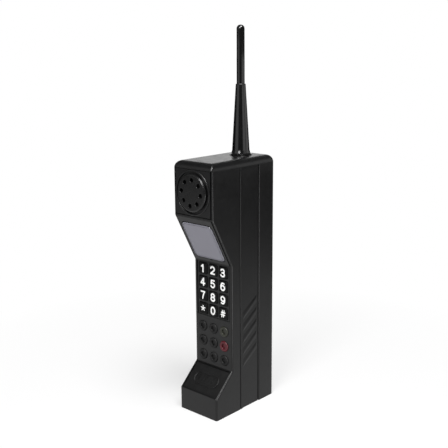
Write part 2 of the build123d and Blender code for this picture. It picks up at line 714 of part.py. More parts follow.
BOARD_BACK_Y = BOARD_Y + BOARD_THICK

with BuildPart() as sound_chip:
    with BuildSketch(facing_front(BOARD_BACK_Y)):
        with Locations((0, 88.0)):
            Circle(5.5)
    extrude(amount=-1.6)
    fillet(sound_chip.faces().sort_by(Axis.Y)[-1].edges(), 1.3)
sound_chip.part.label = "sound_chip"
export_step(sound_chip.part, "parts/sound_chip.step")

with BuildPart() as board_parts:
    with BuildSketch(facing_front(BOARD_BACK_Y)):
        with Locations((10.5, 98.0)):
            Circle(2.5)
    extrude(amount=-7.0)
    with BuildSketch(facing_front(BOARD_BACK_Y)):
        with Locations((-10.5, 80.0), (-10.5, 85.0), (10.5, 84.0), (10.5, 62.0)):
            Rectangle(3.2, 1.6)
        with Locations((-10.0, 66.0)):
            RectangleRounded(9.0, 4.0, 1.0)
    extrude(amount=-1.4)
board_parts.part.label = "board_parts"
export_step(board_parts.part, "parts/board_parts.step")

with BuildPart() as board_screws:
    with BuildSketch(facing_front(BOARD_BACK_Y)):
        with Locations(*BOARD_POSTS):
            Circle(BOARD_SCREW_HEAD_R)
    extrude(amount=-1.3)
    with BuildSketch(facing_front(BOARD_BACK_Y)):
        with Locations(*BOARD_POSTS):
            Circle(BOARD_PILOT_R)
    extrude(amount=BOARD_THICK + 4.0)
    with BuildSketch(facing_front(BOARD_BACK_Y + 0.6)):
        with Locations(*BOARD_POSTS):
            Rectangle(2.4, 0.5)
            Rectangle(0.5, 2.4)
    extrude(amount=-2.0, mode=Mode.SUBTRACT)
board_screws.part.label = "board_screws"
export_step(board_screws.part, "parts/board_screws.step")

# lamp that lights the display card from behind, on two stiff legs from the board's top edge
with BuildPart() as display_lamp:
    with BuildSketch(facing_front(LAMP_Y)):
        with Locations((0, LAMP_Z)):
            Circle(2.5)
    extrude(amount=-1.0)
    with BuildSketch(facing_front(LAMP_Y)):
        with Locations((0, LAMP_Z)):
            Circle(2.1)
    extrude(amount=3.0)
    with BuildSketch(Plane.XY.offset(BOARD_TOP)):
        with Locations((-1.2, LAMP_Y + 0.5), (1.2, LAMP_Y + 0.5)):
            Rectangle(0.6, 0.6)
    extrude(amount=LAMP_Z - BOARD_TOP)
display_lamp.part.label = "display_lamp"
export_step(display_lamp.part, "parts/display_lamp.step")

# ---------------------------------------------------------------- speaker
EAR_AXIS = Axis((0, 0, EAR_Z), (0, 1, 0))
SPEAKER_Y = HEAD_Y + WALL

with BuildPart() as speaker_gasket:
    with BuildSketch(facing_front(SPEAKER_Y)):
        with Locations((0, EAR_Z)):
            Circle(13.9)
            Circle(11.9, mode=Mode.SUBTRACT)
    extrude(amount=-0.8)
speaker_gasket.part.label = "speaker_gasket"
export_step(speaker_gasket.part, "parts/speaker_gasket.step")

with BuildPart() as speaker_frame:
    with BuildSketch(Plane.YZ):
        with BuildLine():
            Polyline(
                (SPEAKER_Y + 0.8, EAR_Z + 11.6),
                (SPEAKER_Y + 0.8, EAR_Z + 14.0),
                (SPEAKER_Y + 1.8, EAR_Z + 14.0),
                (SPEAKER_Y + 1.8, EAR_Z + 12.6),
                (SPEAKER_Y + 6.0, EAR_Z + 8.6),
                (SPEAKER_Y + 7.0, EAR_Z + 8.6),
                (SPEAKER_Y + 7.0, EAR_Z + 4.5),
                (SPEAKER_Y + 6.0, EAR_Z + 4.5),
                (SPEAKER_Y + 6.0, EAR_Z + 7.4),
                (SPEAKER_Y + 1.8, EAR_Z + 11.6),
                close=True,
            )
        make_face()
    revolve(axis=EAR_AXIS)
speaker_frame.part.label = "speaker_frame"
export_step(speaker_frame.part, "parts/speaker_frame.step")

with BuildPart() as speaker_cone:
    with BuildSketch(Plane.YZ):
        with BuildLine():
            Polyline(
                (SPEAKER_Y + 1.0, EAR_Z + 11.5),
                (SPEAKER_Y + 1.6, EAR_Z + 11.5),
                (SPEAKER_Y + 4.6, EAR_Z + 4.4),
                (SPEAKER_Y + 4.6, EAR_Z),
                (SPEAKER_Y + 4.0, EAR_Z),
                (SPEAKER_Y + 4.0, EAR_Z + 3.8),
                close=True,
            )
        make_face()
    revolve(axis=EAR_AXIS)
speaker_cone.part.label = "speaker_cone"
export_step(speaker_cone.part, "parts/speaker_cone.step")

with BuildPart() as speaker_magnet:
    with BuildSketch(facing_front(SPEAKER_Y + 7.0)):
        with Locations((0, EAR_Z)):
            Circle(7.6)
    extrude(amount=-3.2)
    fillet(speaker_magnet.faces().sort_by(Axis.Y)[-1].edges(), 0.4)
speaker_magnet.part.label = "speaker_magnet"
export_step(speaker_magnet.part, "parts/speaker_magnet.step")


# ---------------------------------------------------------------- batteries, contacts and door
def make_battery(name, x, nub_up):
    """AA cell: can with a stepped positive end."""
    with BuildPart() as cell:
        with BuildSketch(Plane.XY.offset(CELL_LOW)):
            with Locations((x, CELL_Y)):
                Circle(CELL_R)
        extrude(amount=CELL_LENGTH)
        fillet(cell.edges().filter_by(GeomType.CIRCLE), 0.5)
        nub_z = CELL_LOW + CELL_LENGTH if nub_up else CELL_LOW
        with BuildSketch(Plane.XY.offset(nub_z)):
            with Locations((x, CELL_Y)):
                Circle(2.75)
        extrude(amount=1.1 if nub_up else -1.1)
    cell.part.label = name
    export_step(cell.part, f"parts/{name}.step")


make_battery("battery_1", -CELL_X, True)
make_battery("battery_2", CELL_X, False)

with BuildPart() as battery_contacts:
    for x in CELL_XS:
        for z in (POCKET_LOW, POCKET_HIGH - 0.4):
            with BuildSketch(Plane.XY.offset(z)):
                with Locations((x, CELL_Y)):
                    Rectangle(10.0, 11.0)
            extrude(amount=0.4)
battery_contacts.part.label = "battery_contacts"
export_step(battery_contacts.part, "parts/battery_contacts.step")

SPRING_LENGTHS = {
    -CELL_X: (POCKET_LOW + 0.4, CELL_LOW),
    CELL_X: (CELL_LOW + CELL_LENGTH, POCKET_HIGH - 0.4),
}

with BuildPart() as battery_springs:
    for x, (low, high) in SPRING_LENGTHS.items():
        for turn in range(3):
            with BuildSketch(Plane.XZ.offset(-CELL_Y)):
                with Locations((x + 4.2 - 0.5 * turn, low + 0.35 + (high - low - 0.7) * turn / 2)):
                    Circle(0.35)
            revolve(axis=Axis((x, CELL_Y, 0), (0, 0, 1)))
battery_springs.part.label = "battery_springs"
export_step(battery_springs.part, "parts/battery_springs.step")

DOOR_IN_Y = REAR - DOOR_THICK

with BuildPart() as battery_door:
    with BuildSketch(facing_front(DOOR_IN_Y)):
        with Locations((0, DOOR_PIVOT_Z)):
            Rectangle(2 * DOOR_HALF, DOOR_HIGH - DOOR_PIVOT_Z, align=(Align.CENTER, Align.MIN))
    extrude(amount=-DOOR_THICK)
    # lower edge is a full round, centred on the swing axis
    with BuildSketch(Plane.YZ.offset(-DOOR_HALF)):
        with Locations((REAR - DOOR_THICK / 2, DOOR_PIVOT_Z)):
            Circle(DOOR_THICK / 2)
    extrude(amount=2 * DOOR_HALF)
    # two tabs that hook behind the rear wall
    for tab_x in (-11.0, 5.0):
        with BuildSketch(Plane.YZ.offset(tab_x)):
            with BuildLine():
                Polyline(
                    (DOOR_IN_Y + 0.5, DOOR_PIVOT_Z - 0.4),
                    (DOOR_IN_Y - 0.35, DOOR_PIVOT_Z - 0.6),
                    (DOOR_IN_Y - 0.35, DOOR_LOW - 3.0),
                    (DOOR_IN_Y - 1.65, DOOR_LOW - 3.0),
                    (DOOR_IN_Y - 1.65, DOOR_PIVOT_Z + 1.5),
                    (DOOR_IN_Y + 0.5, DOOR_PIVOT_Z + 1.5),
                    close=True,
                )
            make_face()
        extrude(amount=DOOR_TAB_W)
    # screw hole and head seat, thumb ridges
    with BuildSketch(facing_front(DOOR_IN_Y)):
        with Locations((0, DOOR_SCREW_Z)):
            Circle(1.2)
    extrude(amount=-4.0, mode=Mode.SUBTRACT)
    with BuildSketch(facing_front(REAR - DOOR_SCREW_SEAT)):
        with Locations((0, DOOR_SCREW_Z)):
            Circle(2.5)
    extrude(amount=-4.0, mode=Mode.SUBTRACT)
    with BuildSketch(facing_front(REAR - 0.5)):
        with GridLocations(0, THUMB_PITCH, 1, THUMB_RIDGES):
            with Locations((0, THUMB_Z)):
                SlotOverall(16.0, 1.4)
    extrude(amount=-2.0, mode=Mode.SUBTRACT)
battery_door.part.label = "battery_door"
export_step(battery_door.part, "parts/battery_door.step")

with BuildPart() as door_screw:
    with BuildSketch(facing_front(REAR - DOOR_SCREW_SEAT)):
        with Locations((0, DOOR_SCREW_Z)):
            Circle(2.3)
    extrude(amount=-1.2)
    with BuildSketch(facing_front(REAR - DOOR_SCREW_SEAT)):
        with Locations((0, DOOR_SCREW_Z)):
            Circle(1.1)
    extrude(amount=4.0)
    with BuildSketch(facing_front(REAR - 0.9)):
        with Locations((0, DOOR_SCREW_Z)):
            Rectangle(3.0, 0.6)
            Rectangle(0.6, 3.0)
    extrude(amount=-2.0, mode=Mode.SUBTRACT)
door_screw.part.label = "door_screw"
export_step(door_screw.part, "parts/door_screw.step")

with BuildPart() as case_screws:
    with BuildSketch(facing_front(CASE_SCREW_Y)):
        with Locations(*CASE_SCREWS):
            Circle(CASE_HEAD_R)
    extrude(amount=-1.8)
    with BuildSketch(facing_front(CASE_SCREW_Y)):
        with Locations(*CASE_SCREWS):
            Circle(CASE_PILOT_R)
    extrude(amount=12.0)
    with BuildSketch(facing_front(CASE_SCREW_Y + 0.9)):
        with Locations(*CASE_SCREWS):
            Rectangle(3.2, 0.7)
            Rectangle(0.7, 3.2)
    extrude(amount=-2.0, mode=Mode.SUBTRACT)
case_screws.part.label = "case_screws"
export_step(case_screws.part, "parts/case_screws.step")

# ---------------------------------------------------------------- power switch
with BuildPart() as switch_body:
    with BuildSketch(facing_front(REAR - WALL - 5.4)):
        with Locations((0, SWITCH_Z)):
            Rectangle(18.0, 7.0)
    extrude(amount=-5.3)
    with BuildSketch(facing_front(REAR - WALL - 3.2)):
        with Locations((0, SWITCH_Z)):
            Rectangle(7.4, 2.4)
    extrude(amount=-4.0, mode=Mode.SUBTRACT)
switch_body.part.label = "switch_body"
export_step(switch_body.part, "parts/switch_body.step")

with BuildPart() as switch_knob:
    with BuildSketch(facing_front(REAR - WALL)):
        with Locations((SWITCH_REST_X, SWITCH_Z)):
            RectangleRounded(5.6, 4.4, 0.5)
    extrude(amount=-1.8)
    with BuildSketch(facing_front(REAR - 0.8)):
        with GridLocations(1.4, 0, 3, 1):
            with Locations((SWITCH_REST_X, SWITCH_Z)):
                Rectangle(0.6, 3.4)
    extrude(amount=-1.0, mode=Mode.SUBTRACT)
    with BuildSketch(facing_front(REAR - WALL)):
        with Locations((SWITCH_REST_X, SWITCH_Z)):
            Rectangle(2.4, 2.0)
    extrude(amount=2.9)
switch_knob.part.label = "switch_knob"
export_step(switch_knob.part, "parts/switch_knob.step")

# ---------------------------------------------------------------- antenna
ANTENNA_AXIS = Axis((0, ANTENNA_Y, 0), (0, 0, 1))
FLANGE_Z = BODY_HEIGHT + 0.05

with BuildPart() as antenna_boot:
    with BuildSketch(Plane.YZ):
        with BuildLine():
            Polyline(
                (ANTENNA_Y, BODY_HEIGHT - 12.5),
                (ANTENNA_Y + STUB_R, BODY_HEIGHT - 12.5),
                (ANTENNA_Y + STUB_R, FLANGE_Z),
                (ANTENNA_Y + 8.6, FLANGE_Z),
                (ANTENNA_Y + 8.8, FLANGE_Z + 0.4),
                (ANTENNA_Y + 7.3, FLANGE_Z + 1.5),
                (ANTENNA_Y + 6.7, FLANGE_Z + 3.6),
                (ANTENNA_Y + 3.75, BOOT_STEP_Z),
                (ANTENNA_Y, BOOT_STEP_Z),
                close=True,
            )
        make_face()
    revolve(axis=ANTENNA_AXIS)
    fillet(antenna_boot.faces().sort_by(Axis.Z)[-1].edges(), 0.4)
    with BuildSketch(Plane.XY.offset(BOOT_STEP_Z - ROD_SOCKET)):
        with Locations((0, ANTENNA_Y)):
            Circle(ROD_R)
    extrude(amount=ROD_SOCKET + 1.0, mode=Mode.SUBTRACT)
antenna_boot.part.label = "antenna_boot"
export_step(antenna_boot.part, "parts/antenna_boot.step")

with BuildPart() as antenna_rod:
    with BuildSketch(Plane.XY.offset(BOOT_STEP_Z - ROD_SOCKET)):
        with Locations((0, ANTENNA_Y)):
            Circle(ROD_R)
    extrude(amount=ANTENNA_TOP - BOOT_STEP_Z + ROD_SOCKET)
    fillet(antenna_rod.faces().sort_by(Axis.Z)[-1].edges(), 2.9)
antenna_rod.part.label = "antenna_rod"
export_step(antenna_rod.part, "parts/antenna_rod.step")

with BuildPart() as antenna_nut:
    with BuildSketch(Plane.XY.offset(BODY_HEIGHT - WALL - 8.4)):
        with Locations((0, ANTENNA_Y)):
            RegularPolygon(6.5, 6)
            Circle(STUB_R, mode=Mode.SUBTRACT)
    extrude(amount=3.2)
antenna_nut.part.label = "antenna_nut"
export_step(antenna_nut.part, "parts/antenna_nut.step")


# ---------------------------------------------------------------- wires inside the case
def make_leads(name, routes, bend):
    """Pair of insulated wires along straight runs joined by arcs."""
    with BuildPart() as leads:
        for route in routes:
            with BuildLine() as path:
                FilletPolyline(*route, radius=bend)
            with BuildSketch(Plane(origin=path.line @ 0, z_dir=path.line % 0)):
                Circle(0.55)
            sweep(path=path.line)
    leads.part.label = name
    export_step(leads.part, f"parts/{name}.step")


speaker_routes = [
    [
        (x, SPEAKER_Y + 10.4, EAR_Z),
        (x, SPEAKER_Y + 22.0, EAR_Z - 4.0),
        (x, SPEAKER_Y + 30.0, EAR_Z - 30.0),
        (x, BOARD_BACK_Y + 5.0, 114.0),
        (x, BOARD_BACK_Y + 0.2, 113.0),
    ]
    for x in (-3.0, 3.0)
]
battery_routes = [
    [
        (x, CELL_Y, POCKET_HIGH + POCKET_WALL + 0.2),
        (x, CELL_Y - 2.0, POCKET_HIGH + 9.0),
        (x, 8.0, POCKET_HIGH + 8.0),
        (x, BOARD_BACK_Y + 0.2, POCKET_HIGH + 2.0),
    ]
    for x in CELL_XS
]
switch_routes = [
    [
        (x, REAR - WALL - 5.5, SWITCH_Z),
        (x, 16.0, SWITCH_Z + 4.0),
        (x, 4.0, SWITCH_Z - 6.0),
        (x, BOARD_BACK_Y + 0.2, SWITCH_Z - 9.0),
    ]
    for x in (-6.0, 6.0)
]
make_leads("speaker_leads", speaker_routes, 2.0)
make_leads("battery_leads", battery_routes, 4.0)
make_leads("switch_leads", switch_routes, 4.0)
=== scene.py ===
import json
import math

import bmesh
import bpy
from mathutils import Matrix, Vector


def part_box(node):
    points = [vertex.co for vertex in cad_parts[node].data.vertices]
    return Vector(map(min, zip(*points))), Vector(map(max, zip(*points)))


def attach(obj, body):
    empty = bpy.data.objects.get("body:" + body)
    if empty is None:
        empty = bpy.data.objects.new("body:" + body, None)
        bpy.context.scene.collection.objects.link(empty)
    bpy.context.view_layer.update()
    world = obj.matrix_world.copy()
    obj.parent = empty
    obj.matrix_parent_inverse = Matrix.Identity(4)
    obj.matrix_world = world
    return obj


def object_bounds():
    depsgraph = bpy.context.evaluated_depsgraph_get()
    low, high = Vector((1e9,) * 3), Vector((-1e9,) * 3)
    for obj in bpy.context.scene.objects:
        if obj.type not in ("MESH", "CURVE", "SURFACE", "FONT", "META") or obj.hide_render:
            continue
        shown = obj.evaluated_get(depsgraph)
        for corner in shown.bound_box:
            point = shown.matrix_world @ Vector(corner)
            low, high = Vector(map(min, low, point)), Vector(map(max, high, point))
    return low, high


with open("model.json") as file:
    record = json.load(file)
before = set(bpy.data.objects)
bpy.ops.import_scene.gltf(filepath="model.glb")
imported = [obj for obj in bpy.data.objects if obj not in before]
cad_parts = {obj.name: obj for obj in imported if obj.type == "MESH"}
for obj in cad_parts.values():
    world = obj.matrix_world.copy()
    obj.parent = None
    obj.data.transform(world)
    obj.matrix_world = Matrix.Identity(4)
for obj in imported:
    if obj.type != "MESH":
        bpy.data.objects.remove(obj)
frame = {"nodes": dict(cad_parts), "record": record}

# Toy brick telephone. Everything is in metres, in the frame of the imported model:
# X to the right as the keypad is read, Y to the back, Z up.

CAD_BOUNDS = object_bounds()
NODES = frame["nodes"]
MM = 0.001

MIDDLE = (Vector(CAD_BOUNDS[0]) + Vector(CAD_BOUNDS[1])) / 2

NUMBER_KEYS = {
    "key_1": "1", "key_2": "2", "key_3": "3",
    "key_4": "4", "key_5": "5", "key_6": "6",
    "key_7": "7", "key_8": "8", "key_9": "9",
    "key_star": "*", "key_0": "0", "key_hash": "#",
}
LEGEND_HEIGHT = 6.9 * MM
LEGEND_THICK = 0.08 * MM
# The display window's edge is painted near black this far below its face: painted shade standing in for the
# shadow in the gap around the window.
SHADE_PAINTED_BELOW = 0.42 * MM
SHADE_PAINTED_FADE = 0.05 * MM


# ---------------------------------------------------------------- node helpers
def set_stops(ramp_node, stops):
    """Gives a ramp node its stops; each stop is (position, grey value or colour)."""
    elements = ramp_node.color_ramp.elements
    while len(elements) < len(stops):
        elements.new(0.5)
    for element, (position, value) in zip(elements, stops):
        element.position = position
        rgb = (value, value, value) if isinstance(value, (int, float)) else value
        element.color = (*rgb, 1.0)


def map_range(tree, socket, start, end, low=0.0, high=1.0):
    """Socket that runs from low to high while the given one runs from start to end."""
    node = tree.nodes.new("ShaderNodeMapRange")
    node.inputs["From Min"].default_value = start
    node.inputs["From Max"].default_value = end
    node.inputs["To Min"].default_value = low
    node.inputs["To Max"].default_value = high
    tree.links.new(socket, node.inputs["Value"])
    return node.outputs["Result"]


def vector_math(tree, operation, socket, other=None):
    """Number from a vector socket and, where the operation takes one, a fixed vector."""
    node = tree.nodes.new("ShaderNodeVectorMath")
    node.operation = operation
    tree.links.new(socket, node.inputs[0])
    if other is not None:
        node.inputs[1].default_value = other
    return node.outputs["Value"]


# ---------------------------------------------------------------- material helpers
class Shader:
    """A node material with one Principled shader and short ways to feed it."""

    def __init__(self, name):
        self.material = bpy.data.materials.new(name)
        self.material.use_nodes = True
        self.tree = self.material.node_tree
        self.nodes = self.tree.nodes
        self.links = self.tree.links
        self.principled = self.nodes["Principled BSDF"]
        self.place = self.nodes.new("ShaderNodeTexCoord").outputs["Object"]

    def set(self, **values):
        for name, value in values.items():
            self.principled.inputs[name.replace("_", " ")].default_value = value

    def feed(self, name, socket):
        self.links.new(socket, self.principled.inputs[name])

    def stretched(self, scale):
        """Object coordinates, in metres, scaled apart along the three axes."""
        node = self.nodes.new("ShaderNodeMapping")
        node.inputs["Scale"].default_value = scale
        self.links.new(self.place, node.inputs["Vector"])
        return node.outputs["Vector"]

    def noise(self, scale, detail=3.0, roughness=0.5, vector=None):
        node = self.nodes.new("ShaderNodeTexNoise")
        node.inputs["Scale"].default_value = scale
        node.inputs["Detail"].default_value = detail
        node.inputs["Roughness"].default_value = roughness
        self.links.new(vector or self.place, node.inputs["Vector"])
        return node.outputs["Fac"]

    def ramp(self, socket, *stops):
        """Colour or grey ramp; each stop is (position, grey value or colour)."""
        node = self.nodes.new("ShaderNodeValToRGB")
        set_stops(node, stops)
        self.links.new(socket, node.inputs["Fac"])
        return node.outputs["Color"]

    def mix(self, factor, first, second, blend="MIX"):
        """Blend of two colours; each argument is a socket or a value."""
        node = self.nodes.new("ShaderNodeMix")
        node.data_type = "RGBA"
        node.blend_type = blend
        sockets = [s for s in node.inputs if s.type == "RGBA"]
        for socket, value in ((node.inputs[0], factor), (sockets[0], first), (sockets[1], second)):
            if isinstance(value, bpy.types.NodeSocket):
                self.links.new(value, socket)
            else:
                socket.default_value = value
        return [s for s in node.outputs if s.type == "RGBA"][0]

    def bump(self, *layers):
        """Chain of bumps; each layer is (height socket, depth in metres)."""
        normal = None
        for height, depth in layers:
            node = self.nodes.new("ShaderNodeBump")
            node.inputs["Strength"].default_value = 1.0
            node.inputs["Distance"].default_value = depth
            self.links.new(height, node.inputs["Height"])
            if normal:
                self.links.new(normal, node.inputs["Normal"])
            normal = node.outputs["Normal"]
        self.links.new(normal, self.principled.inputs["Normal"])


def spread(colour, factor):
    """The colour made lighter or darker by a factor."""
    return tuple(min(1.0, c * factor) for c in colour)


def moulded_plastic(name, colour, rough, grain=0.006, swell=0.03, blotch=0.25, spec=0.5):
    """Moulded plastic: mottled colour, uneven gloss, fine tool grain and a slow swell of the skin."""
    shader = Shader(name)
    shader.set(Specular_IOR_Level=spec)
    mottle = shader.noise(70.0, 5.0, 0.6)
    dark, light = spread(colour, 1 - blotch), spread(colour, 1 + blotch)
    shader.feed("Base Color", shader.ramp(mottle, (0.3, dark), (0.7, light)))
    sheen = shader.noise(220.0, 6.0, 0.65)
    shader.feed("Roughness", shader.ramp(sheen, (0.3, rough - 0.05), (0.7, rough + 0.06)))
    shader.bump((shader.noise(150.0, 2.0), swell * MM), (shader.noise(2600.0, 2.0), grain * MM))
    return shader.material


def printed_card(name, colour):
    """Printed card seen through the window, with a faint mottle."""
    shader = Shader(name)
    shader.set(Roughness=0.55, Specular_IOR_Level=0.3)
    fibre = shader.noise(900.0, 4.0, 0.6)
    shader.feed("Base Color", shader.ramp(fibre, (0.3, spread(colour, 0.93)), (0.7, spread(colour, 1.06))))
    shader.bump((shader.noise(1400.0, 2.0), 0.01 * MM),)
    return shader.material


def tinted_window(name, colour, node):
    """Smoky acrylic that barely shows the card behind it, with faint hairlines and painted shade on its edge
    below the face.
    """
    mesh = NODES[node].data
    front_faces = (face for face in mesh.polygons if face.normal.y < 0)
    facing = max(front_faces, key=lambda face: face.area).normal.copy()
    edge = max(facing.dot(vertex.co) for vertex in mesh.vertices) - SHADE_PAINTED_BELOW
    shader = Shader(name)
    shader.set(Alpha=0.88, IOR=1.49, Specular_IOR_Level=0.5)
    level = vector_math(shader.tree, "DOT_PRODUCT", shader.place, facing)
    clear = map_range(shader.tree, level, edge - SHADE_PAINTED_FADE, edge + SHADE_PAINTED_FADE)
    # Painted shade: near black below the edge line, standing in for the shadow in the gap between window and
    # frame.
    shader.feed("Base Color", shader.mix(clear, (0.002, 0.002, 0.002, 1.0), (*colour, 1.0)))
    hairs = shader.noise(300.0, 6.0, 0.7, shader.stretched((1.0, 0.3, 4.0)))
    shader.feed("Roughness", shader.ramp(hairs, (0.4, 0.05), (0.75, 0.16)))
    shader.bump((shader.noise(90.0, 1.0), 0.01 * MM),)
    return shader.material


def metal(name, colour, rough, streak=(1.0, 1.0, 8.0)):
    """Plated or brushed metal with fine streaks."""
    shader = Shader(name)
    shader.set(Metallic=1.0)
    lines = shader.noise(1200.0, 5.0, 0.6, shader.stretched(streak))
    shader.feed("Base Color", shader.ramp(lines, (0.3, spread(colour, 0.82)), (0.7, spread(colour, 1.1))))
    shader.feed("Roughness", shader.ramp(lines, (0.3, rough - 0.06), (0.7, rough + 0.1)))
    shader.bump((lines, 0.004 * MM),)
    return shader.material


def soft_rubber(name, colour, rough=0.65):
    """Silicone, foam, paper or wire insulation: dull with a fine tooth."""
    shader = Shader(name)
    tooth = shader.noise(1800.0, 4.0, 0.6)
    shader.feed("Base Color", shader.ramp(tooth, (0.3, spread(colour, 0.85)), (0.7, spread(colour, 1.15))))
    shader.feed("Roughness", shader.ramp(tooth, (0.3, rough - 0.08), (0.7, rough + 0.08)))
    shader.bump((tooth, 0.02 * MM),)
    return shader.material


def board_laminate(name):
    """Circuit board: green mask over copper tracks that run in two directions."""
    shader = Shader(name)
    shader.set(Roughness=0.4)
    tracks = shader.nodes.new("ShaderNodeTexBrick")
    tracks.inputs["Scale"].default_value = 160.0
    tracks.inputs["Mortar Size"].default_value = 0.03
    tracks.inputs["Color1"].default_value = (0.020, 0.085, 0.030, 1.0)
    tracks.inputs["Color2"].default_value = (0.024, 0.100, 0.036, 1.0)
    tracks.inputs["Mortar"].default_value = (0.055, 0.160, 0.060, 1.0)
    turned = shader.nodes.new("ShaderNodeMapping")
    turned.inputs["Rotation"].default_value = (math.pi / 2, 0.0, 0.0)
    shader.links.new(shader.place, turned.inputs["Vector"])
    shader.links.new(turned.outputs["Vector"], tracks.inputs["Vector"])
    shader.feed("Base Color", tracks.outputs["Color"])
    shader.bump((tracks.outputs["Fac"], 0.03 * MM),)
    return shader.material


def cell_jacket(name, node):
    """Battery jacket: dark wrap with a coppery shoulder at the positive end, steel at both ends."""
    foot, top = (corner.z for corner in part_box(node))
    if node != "battery_1":
        foot, top = top, foot
    shader = Shader(name)
    shader.set(Roughness=0.3)
    split = shader.nodes.new("ShaderNodeSeparateXYZ")
    shader.links.new(shader.place, split.inputs["Vector"])
    along = map_range(shader.tree, split.outputs["Z"], foot, top)
    steel, wrap, copper = (0.55, 0.55, 0.53), (0.012, 0.014, 0.018), (0.42, 0.19, 0.07)
    bands = shader.ramp(
        along,
        (0.0, steel), (0.012, wrap), (0.72, wrap), (0.735, copper), (0.965, copper), (0.972, steel),
    )
    shader.nodes["Color Ramp"].color_ramp.interpolation = "CONSTANT"
    scuffs = shader.noise(260.0, 6.0, 0.7)
    shader.feed("Base Color", shader.mix(0.25, bands, shader.ramp(scuffs, (0.35, 0.0), (0.75, 0.35)), "ADD"))
    shader.feed("Metallic", shader.ramp(along, (0.0, 1.0), (0.013, 0.55), (0.97, 1.0)))
    shader.bump((scuffs, 0.01 * MM),)
    return shader.material


def legend_paint(name):
    """White printed ink with slightly uneven cover."""
    shader = Shader(name)
    shader.set(Roughness=0.45)
    cover = shader.noise(2200.0, 4.0, 0.6)
    shader.feed("Base Color", shader.ramp(cover, (0.25, (0.80, 0.80, 0.79)), (0.6, (0.90, 0.90, 0.89))))
    shader.bump((cover, 0.008 * MM),)
    return shader.material


# ---------------------------------------------------------------- materials of the CAD nodes
MATERIALS = {
    "shell_plastic": moulded_plastic("shell_plastic", (0.0036, 0.0036, 0.0038), 0.33),
    "chin_plastic": moulded_plastic("chin_plastic", (0.0035, 0.0035, 0.0036), 0.42),
    "grid_plastic": moulded_plastic("grid_plastic", (0.0100, 0.0100, 0.0105), 0.36),
    "cap_plastic": moulded_plastic("cap_plastic", (0.0050, 0.0050, 0.0052), 0.26),
    "antenna_plastic": moulded_plastic(
        "antenna_plastic", (0.0014, 0.0014, 0.0015), 0.15, grain=0.001, swell=0.004, spec=1.0
    ),
    "key_plastic": moulded_plastic("key_plastic", (0.0020, 0.0020, 0.0022), 0.42, grain=0.003, spec=0.16),
    "function_plastic": moulded_plastic("function_plastic", (0.0042, 0.0042, 0.0044), 0.55, spec=0.4),
    "call_plastic": moulded_plastic("call_plastic", (0.022, 0.023, 0.015), 0.42),
    "end_plastic": moulded_plastic("end_plastic", (0.078, 0.0045, 0.0100), 0.40),
    "switch_plastic": moulded_plastic("switch_plastic", (0.020, 0.020, 0.021), 0.45),
    "chip_resin": moulded_plastic("chip_resin", (0.006, 0.006, 0.006), 0.25),
    "lamp_resin": moulded_plastic(
        "lamp_resin", (0.60, 0.66, 0.56), 0.15, grain=0.001, swell=0.005, blotch=0.05
    ),
    "magnet_ferrite": moulded_plastic("magnet_ferrite", (0.030, 0.030, 0.032), 0.60),
    "lens_clear": tinted_window("lens_clear", (0.222, 0.219, 0.256), "display_lens"),
    "card_print": printed_card("card_print", (0.250, 0.246, 0.290)),
    "mat_rubber": soft_rubber("mat_rubber", (0.14, 0.15, 0.16)),
    "carbon_rubber": soft_rubber("carbon_rubber", (0.010, 0.010, 0.010)),
    "gasket_foam": soft_rubber("gasket_foam", (0.020, 0.020, 0.020), 0.85),
    "cone_paper": soft_rubber("cone_paper", (0.018, 0.018, 0.018), 0.80),
    "wire_jacket": soft_rubber("wire_jacket", (0.30, 0.02, 0.02), 0.45),
    "board_laminate": board_laminate("board_laminate"),
    "screw_steel": metal("screw_steel", (0.50, 0.50, 0.49), 0.35),
    "contact_steel": metal("contact_steel", (0.62, 0.60, 0.56), 0.25),
    "speaker_metal": metal("speaker_metal", (0.45, 0.45, 0.46), 0.40),
}
SLOTS = {entry["node"]: entry["material_slot"] for entry in frame["record"]["subparts"]}

for node, slot in SLOTS.items():
    if slot == "cell_jacket":
        material = cell_jacket("jacket_" + node, node)
    else:
        material = MATERIALS[slot]
    mesh = NODES[node].data
    mesh.materials.clear()
    mesh.materials.append(material)


# ---------------------------------------------------------------- printed legends and marks
def arc(centre, radii, start, end, steps=14):
    """Points on an ellipse arc from start to end, in degrees anticlockwise from the right."""
    points = []
    for step in range(steps + 1):
        angle = math.radians(start + (end - start) * step / steps)
        points.append((centre[0] + radii[0] * math.cos(angle), centre[1] + radii[1] * math.sin(angle)))
    return points


def spokes(radius, count, first):
    """Lines out from the middle, for the star."""
    lines = []
    for turn in range(count):
        angle = math.radians(first + 360.0 * turn / count)
        lines.append([(0.0, 0.5), (radius * math.cos(angle), 0.5 + radius * math.sin(angle))])
    return lines


